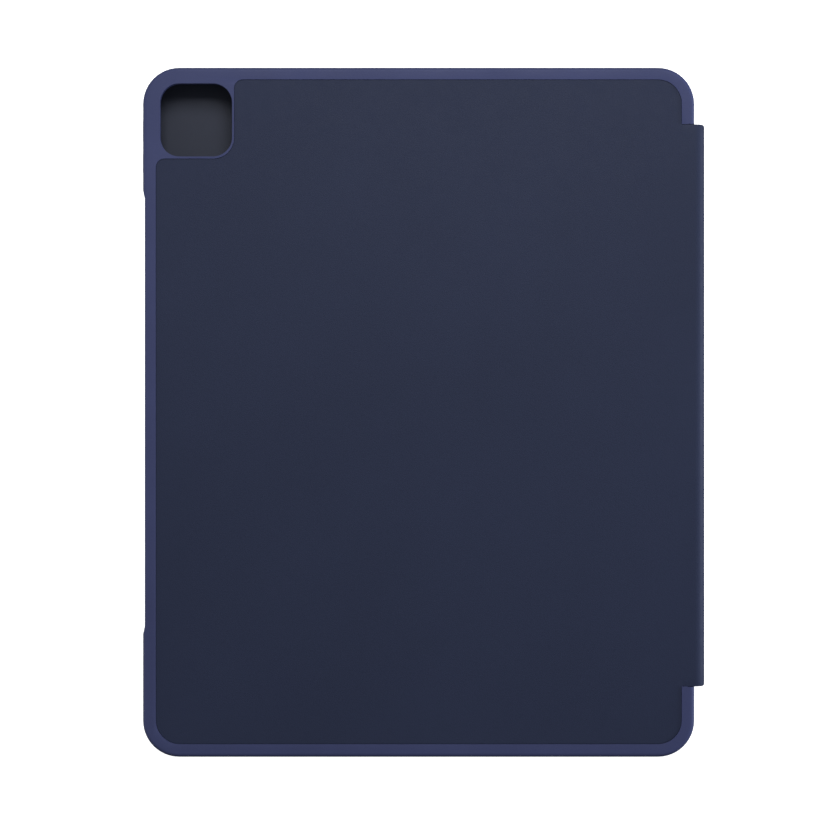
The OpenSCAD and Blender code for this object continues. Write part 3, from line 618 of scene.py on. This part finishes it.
def keycap(bm, x0, x1, y0, y1, stems=(0.5,)):
    """A low keycap with drawn-in sides, a rounded top edge and a shallow dished top."""
    half = min(x1 - x0, y1 - y0) / 2
    steps = [
        (0.0, KEY_Z0),
        (0.05, KEY_Z0 + 0.9),
        (0.14, KEY_Z1 - 0.5),
        (0.22, KEY_Z1 - 0.26),
        (0.34, KEY_Z1 - 0.11),
        (0.50, KEY_Z1 - 0.03),
        (0.68, KEY_Z1),
    ]
    last = half * 0.56
    for i in range(1, 6):
        t = i / 5
        steps.append((0.68 + (last - 0.68) * t, KEY_Z1 - DISH * t * t * (3 - 2 * t)))
    loops = []
    for inset, z in steps:
        r = max(1.9 - min(inset, 0.68) * 0.8, 0.3) if inset <= 0.68 else 1.35 - 0.5 * (inset - 0.68) / (last - 0.68)
        pts = rounded(x0 + inset, x1 - inset, y0 + inset, y1 - inset, r, 6)
        loops.append([(x, y, z) for x, y in pts])
    lofted(bm, loops)
    cx = (x0 + x1) / 2
    for k in stems:
        cy = y1 + (y0 - y1) * k
        stem = rounded(cx - 2.5, cx + 2.5, cy - 2.5, cy + 2.5, 0.4, 2)
        lofted(bm, [[(x, y, STEM_Z) for x, y in stem], [(x, y, KEY_Z0 + 0.01) for x, y in stem]])


def ridge(bm, x, y):
    """Small raised bar by which a finger finds the key."""
    z = KEY_Z1 - DISH
    loops = []
    for inset, dz in ((0.0, 0.0), (0.03, 0.1), (0.14, 0.2), (0.3, 0.24)):
        pts = rounded(x - 0.45 + inset, x + 0.45 - inset, y - 1.9 + inset, y + 1.9 - inset, 0.44 - inset, 5)
        loops.append([(a, b, z + dz - 0.02) for a, b in pts])
    lofted(bm, loops)


for n, boxes in ROWS.items():
    bm = bmesh.new()
    for i, b in enumerate(boxes):
        keycap(bm, *b, SPACE_STEMS if n == "space_bar" else (0.5,))
        if n == "home_letter_keys" and i in (3, 6):
            ridge(bm, b[0] + 3.6, (b[2] + b[3]) / 2)
    o = put(n + ".v", bm, KEYS, 30.0)
    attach(o, n)
    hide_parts(n)


def dome(bm, x, y):
    """A rubber dome with a thick shoulder and a flat crown."""
    loops = []
    for r, z in ((2.1, 0.0), (2.06, 0.22), (1.9, 0.5), (1.7, 0.85), (1.58, 1.15), (1.45, 1.33), (1.2, 1.43), (0.5, 1.44)):
        loops.append([(x + a, y + b, SHEET_Z1 - 0.01 + z) for a, b in arc(0, 0, r, 0, 345, 23)])
    lofted(bm, loops)


sheet = plate_curve(
    "dome_sheet.v", [rounded(MOD_X - 10, FN_X + 6, -136.5, 136.5, 2.0, 4)], SHEET_Z0, SHEET_Z1, 0.04, RUBBER
)
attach(sheet, "base")
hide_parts("dome_sheet")
for n, boxes in ROWS.items():
    bm = bmesh.new()
    for x0, x1, y0, y1 in boxes:
        for k in SPACE_STEMS if n == "space_bar" else (0.5,):
            dome(bm, (x0 + x1) / 2, y1 + (y0 - y1) * k)
    o = put(n + ".domes", bm, RUBBER, 40.0)
    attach(o, "base")
    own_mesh(o)

wells = []
for n, boxes in ROWS.items():
    if n.endswith("arrow_key"):
        continue
    for x0, x1, y0, y1 in boxes:
        g = WELL_GAP
        wells.append(rounded(x0 - g, x1 + g, y0 - g, y1 + g, 2.1, 6))
g = WELL_GAP
for u, top in ((12, MOD_X - D / 2 + H), (13, MOD_X + D / 2), (14, MOD_X - D / 2 + H)):
    a = 135 - PITCH * u
    wells.append(rounded(MOD_X - D / 2 - g, top + g, a - PITCH + KEY_GAP / 2 - g, a - KEY_GAP / 2 + g, 2.1, 6))


def base_edge(inset):
    """Outline of the base, drawn in beside the spine."""
    x0, x1, y0, y1 = BASE[0] + inset, BASE[1] - inset, BASE[2] + inset, BASE[3] - inset
    r = BASE_R - inset
    s0, s1 = SPINE_Y0 - SPINE_PLAY - inset, SPINE_Y1 + SPINE_PLAY + inset
    bx = BAND_X - inset
    pts = []
    pts += arc(x1 - r, y0 + r, r, -90, 0, 14)
    pts += [(x1, s0), (bx, s0), (bx, s1), (x1, s1)]
    pts += arc(x1 - r, y1 - r, r, 0, 90, 14)
    pts += arc(x0 + r, y1 - r, r, 90, 180, 14)
    pts += arc(x0 + r, y0 + r, r, 180, 270, 14)
    return pts


holes = [rounded(103.5 - 0.85, 103.5 + 0.85, y - 0.85, y + 0.85, 0.85, 5) for y in (-124, -129, -134)]
deck = plate_curve(
    "deck.v",
    [base_edge(0.0)] + wells + [rounded(*PAD, 3.2, 8)] + holes,
    DECK_Z0,
    DECK_Z1,
    0.22,
    DECK,
)
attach(deck, "base")
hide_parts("deck")
pad = plate_curve("trackpad.v", [rounded(PAD[0] + 0.3, PAD[1] - 0.3, PAD[2] + 0.3, PAD[3] - 0.3, 2.9, 8)], 5.4, 6.7, 0.2, GLIDE)
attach(pad, "trackpad")
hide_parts("trackpad")



# ---------------------------------------------------------------- inside the base
FLOOR_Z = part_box("battery_cells")[0].z / MM


def slab(bm, x0, x1, y0, y1, z0, z1, r=0.2, e=0.1, n=3):
    """A small block with rounded corners and a rounded top edge."""
    loops = []
    for inset, z in ((0.0, z0), (0.0, z1 - e), (0.3 * e, z1 - 0.3 * e), (e, z1)):
        pts = rounded(x0 + inset, x1 - inset, y0 + inset, y1 - inset, max(r - inset, 0.02), n)
        loops.append([(x, y, z) for x, y in pts])
    lofted(bm, loops)


def in_base(name, bm, material, *nodes):
    o = put(name, bm, material, 30.0)
    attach(o, "base")
    if nodes:
        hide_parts(*nodes)
    return o


# pouch cells: a soft-edged body on a crimped rim, wider at the end with the terminals
pouch, tabs, tape = bmesh.new(), bmesh.new(), bmesh.new()
for s in (1, -1):
    y0, y1 = (63.0, 131.0) if s > 0 else (-131.0, -63.0)
    e0, e1 = (5.0, 0.0) if s > 0 else (0.0, 5.0)
    loops = []
    for inset, z in (
        (2.6, 0.0),
        (2.0, 0.1),
        (1.75, 0.35),
        (1.7, 0.6),
        (0.0, 0.66),
        (0.0, 0.82),
        (1.7, 0.88),
        (1.75, 2.2),
        (1.85, 2.5),
        (2.1, 2.75),
        (2.6, 2.92),
        (3.4, 2.99),
    ):
        k = 1.0 if inset > 0 else 0.0
        pts = rounded(-104 + inset, -24 - inset, y0 + inset + k * e0, y1 - inset - k * e1, max(3.0 - 0.6 * inset, 1.0), 6)
        loops.append([(x, y, FLOOR_Z + z) for x, y in pts])
    lofted(pouch, loops)
    a, b = sorted((s * 63.4, s * 68.4))
    for x in (-76.0, -52.0):
        slab(tabs, x - 3, x + 3, a, b, FLOOR_Z + 0.8, FLOOR_Z + 0.92, 0.3, 0.03)
    a, b = sorted((s * 64.8, s * 67.8))
    slab(tape, -84, -44, a, b, FLOOR_Z + 0.8, FLOOR_Z + 0.98, 0.4, 0.04)
in_base("battery_cells.v", pouch, POUCH, "battery_cells")
in_base("battery_tabs", tabs, STEEL)
in_base("battery_tape", tape, AMBER)

# controller board with its chips, small parts and ribbon socket
BOARD_Z = 3.2
card = plate_curve("controller_board.v", [rounded(-84, -30, -44, 44, 2.0, 5)], FLOOR_Z, BOARD_Z, 0.08, CIRCUIT)
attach(card, "base")
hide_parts("controller_board")
chips, legs, bits, ends = bmesh.new(), bmesh.new(), bmesh.new(), bmesh.new()
for x0, x1, y0, y1, h in ((-50, -38, -10, 2, 1.0), (-74, -66, 16, 26, 0.8), (-70, -60, -34, -24, 0.8)):
    slab(chips, x0 + 0.8, x1 - 0.8, y0 + 0.8, y1 - 0.8, BOARD_Z + 0.08, BOARD_Z + h, 0.25, 0.14)
    n = int((x1 - x0 - 2.6) / 0.8)
    for i in range(n + 1):
        c = (x0 + x1) / 2 + (i - n / 2) * 0.8
        for a in (y0, y1 - 0.9):
            slab(legs, c - 0.18, c + 0.18, a, a + 0.9, BOARD_Z - 0.01, BOARD_Z + 0.22, 0.06, 0.05, 2)
    n = int((y1 - y0 - 2.6) / 0.8)
    for i in range(n + 1):
        c = (y0 + y1) / 2 + (i - n / 2) * 0.8
        for a in (x0, x1 - 0.9):
            slab(legs, a, a + 0.9, c - 0.18, c + 0.18, BOARD_Z - 0.01, BOARD_Z + 0.22, 0.06, 0.05, 2)
for x, y, n in ((-53.6, -10.4, 8), (-35.4, -10.4, 8), (-77.2, 14.6, 8), (-63.2, 14.6, 8), (-73.6, -35.4, 8), (-56.6, -35.4, 8)):
    for i in range(n):
        c = y + 1.6 * i
        slab(bits, x - 0.45, x + 0.45, c - 0.42, c + 0.42, BOARD_Z - 0.01, BOARD_Z + 0.5, 0.1, 0.08, 2)
        for a in (x - 0.8, x + 0.4):
            slab(ends, a, a + 0.4, c - 0.44, c + 0.44, BOARD_Z - 0.01, BOARD_Z + 0.52, 0.1, 0.08, 2)
socket = bmesh.new()
slab(socket, -36.5, -31.5, 14, 36, BOARD_Z - 0.01, BOARD_Z + 0.9, 0.5, 0.2)
for i in range(21):
    slab(ends, -37.3, -36.4, 14.8 + i - 0.2, 14.8 + i + 0.2, BOARD_Z - 0.01, BOARD_Z + 0.2, 0.06, 0.05, 2)
in_base("controller_chips", chips, CHIP)
in_base("controller_legs", legs, STEEL)
in_base("controller_small_parts", bits, CREAM)
in_base("controller_solder_ends", ends, STEEL)
in_base("ribbon_socket", socket, CREAM)

# dark tongue of the charging socket, with its row of contacts
tongue, contacts = bmesh.new(), bmesh.new()
slab(tongue, -66.87, -60.13, BASE[3] - 6.6, BASE[3] - 1.58, 3.73, 4.47, 0.3, 0.1)
for i in range(12):
    c = -66.25 + 0.5 * i
    slab(contacts, c - 0.13, c + 0.13, BASE[3] - 5.6, BASE[3] - 2.1, 4.46, 4.49, 0.05, 0.01, 2)
in_base("usb_tongue", tongue, CHIP)
in_base("usb_contacts", contacts, BRONZE)

# film with a printed contact below every dome, and a line along every row
INK_Z = 2.66
film = plate_curve(
    "membrane_circuit.v", [rounded(MOD_X - 10, FN_X + 6, -136.5, 136.5, 2.0, 4)], FLOOR_Z, INK_Z, 0.03, FILM
)
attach(film, "base")
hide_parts("membrane_circuit")
ink = bmesh.new()
for n, boxes in ROWS.items():
    for x0, x1, y0, y1 in boxes:
        for k in SPACE_STEMS if n == "space_bar" else (0.5,):
            pts = arc((x0 + x1) / 2, y1 + (y0 - y1) * k, 1.7, 0, 345, 23)
            lofted(ink, [[(x, y, INK_Z - 0.005) for x, y in pts], [(x, y, INK_Z + 0.03) for x, y in pts]])
for i, x in enumerate([MOD_X + PITCH * k for k in range(5)] + [FN_X]):
    slab(ink, x - 0.3, x + 0.3, -129.0, 131.0 + 0.8 * i, INK_Z - 0.005, INK_Z + 0.02, 0.2, 0.005)
    slab(ink, MOD_X - 9.5, x + 0.3, 130.6 + 0.8 * i, 131.0 + 0.8 * i, INK_Z - 0.005, INK_Z + 0.025, 0.15, 0.005)
in_base("membrane_tracks", ink, SILVER)

# plain legends, one mesh for each row
LEGENDS = {
    "escape_key": ["esc"],
    "function_keys": ["F%d" % i for i in range(1, 13)] + ["del"],
    "number_keys": [a + "\n" + b for a, b in zip("~!@#$%^&*()_+", "`1234567890-=")],
    "backspace_key": ["backspace"],
    "tab_key": ["tab"],
    "upper_letter_keys": list("QWERTYUIOP") + ["{\n[", "}\n]", "|\n\\"],
    "caps_key": ["caps"],
    "home_letter_keys": list("ASDFGHJKL") + [":\n;", "\"\n'"],
    "enter_key": ["enter"],
    "left_shift_key": ["shift"],
    "lower_letter_keys": list("ZXCVBNM") + ["<\n,", ">\n.", "?\n/"],
    "right_shift_key": ["shift"],
    "modifier_keys": ["fn", "ctrl", "alt", "meta", "alt"],
}
for n, words in LEGENDS.items():
    bm = bmesh.new()
    for word, (x0, x1, y0, y1) in zip(words, ROWS[n]):
        cu = bpy.data.curves.new("t", "FONT")
        cu.body = word
        cu.size = (4.4 if len(word) == 1 else 3.3 if "\n" in word else 2.7) * MM
        cu.space_line = 1.1
        cu.align_x = "CENTER"
        cu.align_y = "CENTER"
        cu.extrude = 0.006 * MM
        cu.resolution_u = 3
        to = bpy.data.objects.new("t", cu)
        SCENE.collection.objects.link(to)
        bpy.context.view_layer.update()
        me = bpy.data.meshes.new_from_object(to.evaluated_get(bpy.context.evaluated_depsgraph_get()))
        me.transform(
            Matrix.Translation(((x0 + x1) / 2 * MM, (y0 + y1) / 2 * MM, (KEY_Z1 - DISH + 0.008) * MM))
            @ Matrix.Rotation(math.radians(-90), 4, "Z")
        )
        bm.from_mesh(me)
        bpy.data.objects.remove(to)
        bpy.data.curves.remove(cu)
        bpy.data.meshes.remove(me)
    bmesh.ops.scale(bm, vec=(1000, 1000, 1000), verts=bm.verts)
    o = put(n + ".legend", bm, INK, 30.0)
    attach(o, n)
for n, turn in (("up_arrow_key", 0), ("left_arrow_key", 90), ("down_arrow_key", 180), ("right_arrow_key", 270)):
    x0, x1, y0, y1 = ROWS[n][0]
    bm = bmesh.new()
    loops = []
    for z in (KEY_Z1 - DISH + 0.002, KEY_Z1 - DISH + 0.014):
        pts = [(0.85, 0.0), (-0.65, 1.0), (-0.65, -1.0)]
        c, q = math.cos(math.radians(turn)), math.sin(math.radians(turn))
        loops.append([((x0 + x1) / 2 + c * a - q * b, (y0 + y1) / 2 + q * a + c * b, z) for a, b in pts])
    lofted(bm, loops)
    o = put(n + ".legend", bm, INK, 30.0)
    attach(o, n)

# ---------------------------------------------------------------- stage, light, camera
floor = bpy.data.meshes.new("floor")
turn = [(20 * math.cos(math.pi * i / 24), 20 * math.sin(math.pi * i / 24)) for i in range(48)]
floor.from_pydata(
    [(x, y, 0) for x, y in turn] + [(x, y, 20) for x, y in turn],
    [],
    [tuple(range(48))] + [(i, (i + 1) % 48, 48 + (i + 1) % 48, 48 + i) for i in range(48)],
)
floor_o = bpy.data.objects.new("floor", floor)
floor_o.location = (0, 0, -0.0004)
SCENE.collection.objects.link(floor_o)
fm = bpy.data.materials.new("floor_white")
fm.use_nodes = True
fp = fm.node_tree.nodes["Principled BSDF"]
fp.inputs["Base Color"].default_value = (0.6, 0.6, 0.6, 1)
fp.inputs["Roughness"].default_value = 0.9
fp.inputs["Specular IOR Level"].default_value = 0.0
fp.inputs["Emission Color"].default_value = (1, 1, 1, 1)
fp.inputs["Emission Strength"].default_value = 1.0
floor.materials.append(fm)
floor_o.visible_diffuse = False
floor_o.visible_glossy = False
floor_o.visible_shadow = False
bounce = bpy.data.meshes.new("floor_bounce")
bounce.from_pydata([(x, y, 0) for x, y in turn], [], [tuple(range(48))])
bounce_o = bpy.data.objects.new("floor_bounce", bounce)
bounce_o.location = (0, 0, -0.0008)
bounce_o.visible_camera = False
SCENE.collection.objects.link(bounce_o)
gm = bpy.data.materials.new("floor_grey")
gm.use_nodes = True
gp = gm.node_tree.nodes["Principled BSDF"]
gp.inputs["Base Color"].default_value = (0.08, 0.08, 0.085, 1)
gp.inputs["Roughness"].default_value = 0.9
gp.inputs["Specular IOR Level"].default_value = 0.0
bounce_o.data.materials.append(gm)

world = bpy.data.worlds.new("studio")
SCENE.world = world
world.use_nodes = True
wb = world.node_tree.nodes["Background"]
wb.inputs["Color"].default_value = (0.95, 0.97, 1.0, 1)
wb.inputs["Strength"].default_value = 0.32


def soft_light(name, place, aim, size, power, col=(1, 1, 1)):
    li = bpy.data.lights.new(name, "AREA")
    li.shape = "RECTANGLE"
    li.size, li.size_y = size
    li.energy = power
    li.color = col
    o = bpy.data.objects.new(name, li)
    o.location = place
    o.rotation_euler = (Vector(aim) - Vector(place)).to_track_quat("-Z", "Y").to_euler()
    SCENE.collection.objects.link(o)


soft_light("key", (0.08, 0.62, 0.80), (0, 0, 0.01), (0.7, 0.45), 9.0)
soft_light("side", (0.95, 0.0, 0.12), (0.1, 0, 0.01), (0.5, 0.2), 6.5, (0.96, 1.03, 1.24))
soft_light("fill", (-0.95, 0.0, 0.08), (-0.1, 0, 0.01), (0.5, 0.14), 2.2)

SCENE.view_settings.view_transform = "Standard"
SCENE.view_settings.look = "None"
SCENE.view_settings.exposure = 0.0
SCENE.view_settings.gamma = 1.0

DIST = 0.85
cam = bpy.data.cameras.new("camera")
cam.sensor_fit = "HORIZONTAL"
cam.angle = 2 * math.atan(823 * 0.4135 * MM / 2 / DIST)
cam_o = bpy.data.objects.new("camera", cam)
cam_o.location = (-0.00495, 0.00033, LEATHER_Z * MM + DIST)
cam_o.rotation_euler = (0, 0, 0)
SCENE.collection.objects.link(cam_o)
SCENE.camera = cam_o

bpy.context.view_layer.update()
